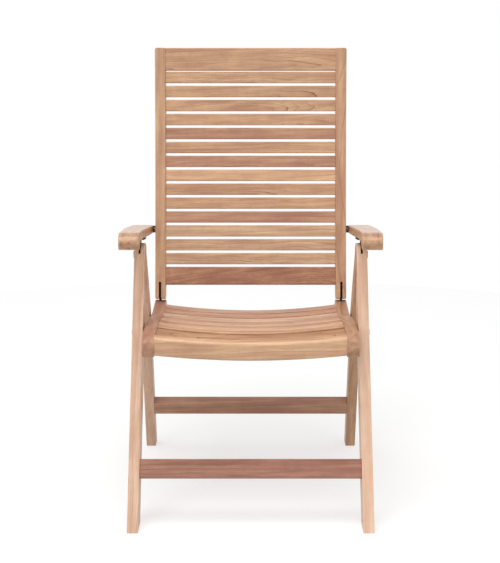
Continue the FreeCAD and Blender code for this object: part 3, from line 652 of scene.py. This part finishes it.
# %% Dress the rails and stretchers
CROSS_CUTS = (
    ("back_top_rail", "honey", 8, 0.026, 2.4, 0.3),
    ("back_bottom_rail", "russet", 62, 0.050, 9.0, 0.5),
    ("front_stretcher", "walnutty", 35, 0.060, 2.6, 0.5),
    ("rear_stretcher", "rosy", 65, 0.070, 1.8, 0.5),
)
for name, stock, sawn, depth, lean, streaks in CROSS_CUTS:
    teak(name, stock, ACROSS, sawn, depth, lean, figure=1.2, streaks=streaks)
print("rails and stretchers dressed:", len(CROSS_CUTS))

# %% [markdown]
# ## The boards at the sides
#
# Legs, stiles, seat rails and arms run in the side plane. The two sides are cut from different
# places, so each board has its own pith. The arms are the only broad boards of the frame, and
# their rings lie nearly level, which shows as long arches on top and as bands on the rounded
# nose. Hands polish them, so they are less rough than the rest.

# %% Dress the sides
SIDE_CUTS = (
    ("back_stile_left", "honey", STILE_SLOPE, 20, 0.070, 1.2, 0.35, 0.0),
    ("back_stile_right", "honey", STILE_SLOPE, 70, 0.080, 0.9, 0.35, 0.0),
    # the front legs and the rear left leg take the two palest stocks, which carry painted
    # highlight and painted bounce light
    ("front_leg_left", "painted_light_pale", FRONT_LEG_SLOPE, 15, 0.080, 1.3, 0.35, 0.0),
    ("front_leg_right", "painted_highlight_pale", FRONT_LEG_SLOPE, 75, 0.090, 0.8, 0.35, 0.0),
    ("rear_leg_left", "painted_light_pale", REAR_LEG_SLOPE, 60, 0.060, 1.2, 0.35, 0.0),
    ("rear_leg_right", "honey", REAR_LEG_SLOPE, 25, 0.070, 1.4, 0.35, 0.0),
    ("seat_rail_left", "rosy", 0.0, 40, 0.060, 1.6, 0.35, 0.0),
    ("seat_rail_right", "tan", 0.0, 70, 0.070, 1.4, 0.35, 0.0),
    ("armrest_left", "tan", -ARM_SLOPE, 97, 0.045, 3.4, 1.0, 0.17),
    ("armrest_right", "tan", -ARM_SLOPE, 82, 0.040, 3.8, 1.0, 0.17),
)
for name, stock, slope, sawn, depth, lean, streaks, polish in SIDE_CUTS:
    teak(name, stock, sloping(slope), sawn, depth, lean, rings=170.0, figure=0.8,
         streaks=streaks, polish=polish)
print("boards dressed at the sides:", len(SIDE_CUTS))

# %% [markdown]
# ## Metal
#
# The plates at the hinges, brackets and catches are browned steel, nearly black and rubbed a
# little brighter in patches. The pins, bolts and screws are plain steel with a satin
# finish, and the studs and screws of the catches, which rub on those plates, have darkened with
# oil. They are small and their shapes are right, so they keep the model's own meshes.

# %% Make the metals
RUB_DEPTH = 0.0002


def metal(name, dull, bright, rough, spread, grain, shine):
    material = bpy.data.materials.new(name)
    material.use_nodes = True
    tree = material.node_tree
    shader = tree.nodes["Principled BSDF"]
    where = add(tree, "ShaderNodeTexCoord").outputs["Object"]
    rub = noise(tree, stretched(tree, where, (grain, grain, 0.4 * grain)), 1.0, 5.0, 0.6)
    worn = between(tree, rub, 0.45, 0.75)
    tree.links.new(mixed(tree, worn, paint(*dull), paint(*bright)), shader.inputs["Base Color"])
    scatter = maths(tree, "ADD", maths(tree, "MULTIPLY", rub, spread), rough)
    tree.links.new(scatter, shader.inputs["Roughness"])
    bump = add(tree, "ShaderNodeBump")
    bump.inputs["Strength"].default_value = 0.2
    bump.inputs["Distance"].default_value = RUB_DEPTH
    tree.links.new(rub, bump.inputs["Height"])
    tree.links.new(bump.outputs[0], shader.inputs["Normal"])
    shader.inputs["Metallic"].default_value = shine
    return material


METALS = (
    (metal("browned_plate", (46, 31, 26), (86, 66, 56), 0.42, 0.25, 260, 0.5),
     named("hinge_tongues", "arm_bracket_left", "arm_bracket_right", "arm_hook_left",
           "arm_hook_right")),
    (metal("satin_steel", (150, 148, 144), (200, 198, 194), 0.26, 0.2, 500, 1.0),
     named("apex_bolts", "seat_pivot", "seat_support", "arm_bracket_screws", "hinge_pins",
           "hinge_rivets")),
    (metal("oiled_steel", (84, 72, 64), (128, 114, 104), 0.34, 0.2, 500, 0.8),
     named("catch_studs", "arm_hook_screws")),
)
for material, names in METALS:
    for name in names:
        for place in nodes[name].material_slots:
            place.material = material
    print(material.name, "on", ", ".join(names))

# %% [markdown]
# ## The floor
#
# The chair stands in a white studio, on a matt sheet with some light under it, as a
# photographer's table has. The glow makes the floor nearly as white as the paper round the
# picture and keeps the shadow faint. A white floor that is only lit would need so much light
# that the chair would bleach. The sheet looks whiter to the camera and to mirrors than
# the light it sends out, so that the undersides of the boards and the gaps between them stay
# dark enough.

# %% Lay the floor
SHEET_RADIUS = 2.4
SHEET_CORNERS = 128
SHEET_GREY = (0.42, 0.42, 0.42, 1.0)
WHITE = (1.0, 1.0, 1.0, 1.0)
SHEET_LIGHT, SHEET_SEEN = 0.2, 0.61


def brighter_when_seen(tree, as_light, as_seen):
    # the second strength counts for what the camera, a mirror or a glass sees
    ray = add(tree, "ShaderNodeLightPath").outputs
    seen = maths(tree, "MAXIMUM", ray["Is Camera Ray"], ray["Is Glossy Ray"])
    seen = maths(tree, "MAXIMUM", seen, ray["Is Transmission Ray"])
    return maths(tree, "ADD", maths(tree, "MULTIPLY", seen, as_seen - as_light), as_light)


def white_sheet():
    material = bpy.data.materials.new("white_sheet")
    material.use_nodes = True
    tree = material.node_tree
    shader = tree.nodes["Principled BSDF"]
    shader.inputs["Base Color"].default_value = SHEET_GREY
    shader.inputs["Roughness"].default_value = 0.9
    shader.inputs["Specular IOR Level"].default_value = 0.0
    shader.inputs["Emission Color"].default_value = WHITE
    glow = brighter_when_seen(tree, SHEET_LIGHT, SHEET_SEEN)
    tree.links.new(glow, shader.inputs["Emission Strength"])
    return material


def studio_floor():
    shape = bmesh.new()
    bmesh.ops.create_circle(shape, cap_ends=True, segments=SHEET_CORNERS, radius=SHEET_RADIUS)
    mesh = bpy.data.meshes.new("studio_floor")
    shape.to_mesh(mesh)
    shape.free()
    mesh.materials.append(white_sheet())
    floor = bpy.data.objects.new("studio_floor", mesh)
    bpy.context.scene.collection.objects.link(floor)
    return floor


print("floor laid:", studio_floor().name)

# %% [markdown]
# ## Light
#
# Past the sheet's round rim the world takes over, and it is split in the same way: white where
# it is seen, and half as strong as a light. One wide lamp overhead models the boards from
# above, and two weak ones fill the front. Smaller lamps would draw hard shadows, which the
# picture doesn't have.

# %% Light the studio
WORLD_LIGHT, WORLD_SEEN = 0.5, 1.0
CHEST = (0.0, 0.0, 0.6)      # all lamps point here


def studio_world():
    world = bpy.data.worlds.new("white_studio")
    world.use_nodes = True
    tree = world.node_tree
    background = tree.nodes["Background"]
    background.inputs["Color"].default_value = WHITE
    glow = brighter_when_seen(tree, WORLD_LIGHT, WORLD_SEEN)
    tree.links.new(glow, background.inputs["Strength"])
    bpy.context.scene.world = world


def soft_lamp(name, place, size, watts):
    lamp = bpy.data.lights.new(name, "AREA")
    lamp.shape = "DISK"
    lamp.size = size
    lamp.energy = watts
    holder = bpy.data.objects.new(name, lamp)
    holder.location = place
    holder.rotation_euler = (Vector(CHEST) - Vector(place)).to_track_quat("-Z", "Y").to_euler()
    bpy.context.scene.collection.objects.link(holder)


studio_world()
soft_lamp("overhead_lamp", (-0.5, -0.9, 5.4), 4.5, 190)
soft_lamp("left_lamp", (-2.6, -3.2, 1.8), 2.4, 30)
soft_lamp("right_lamp", (2.8, -3.0, 1.6), 2.4, 19)

# %% [markdown]
# ## Camera
#
# The camera's distance, height and tilt were worked out from the picture: the feet, the leg
# slants and the seat's width fix them. A focal length of 1330 pixels in a picture 563 pixels
# high is an 85 mm lens on a frame 36 mm high. The chair stands 0.7 pixels right of the middle.

# %% Set the camera
PICTURE_HIGH = 563
FOCAL_PIXELS = 1330
OFF_MIDDLE_PIXELS = 0.7
CAMERA_BACK = 2.940      # in front of the chair's foremost point
CAMERA_HEIGHT = 1.256
CAMERA_TILT = math.radians(12.4)

camera = bpy.data.cameras.new("studio_camera")
camera.sensor_fit = "VERTICAL"
camera.sensor_height = 36
camera.lens = FOCAL_PIXELS / PICTURE_HIGH * camera.sensor_height
camera.shift_x = -OFF_MIDDLE_PIXELS / PICTURE_HIGH
tripod = bpy.data.objects.new("studio_camera", camera)
tripod.location = (0, cad_low[1] - CAMERA_BACK, CAMERA_HEIGHT)
tripod.rotation_euler = (math.pi / 2 - CAMERA_TILT, 0, 0)
bpy.context.scene.collection.objects.link(tripod)
bpy.context.scene.camera = tripod
bpy.context.scene.view_settings.view_transform = "Standard"
print("lens:", round(camera.lens, 1), "camera at", tuple(round(v, 3) for v in tripod.location))
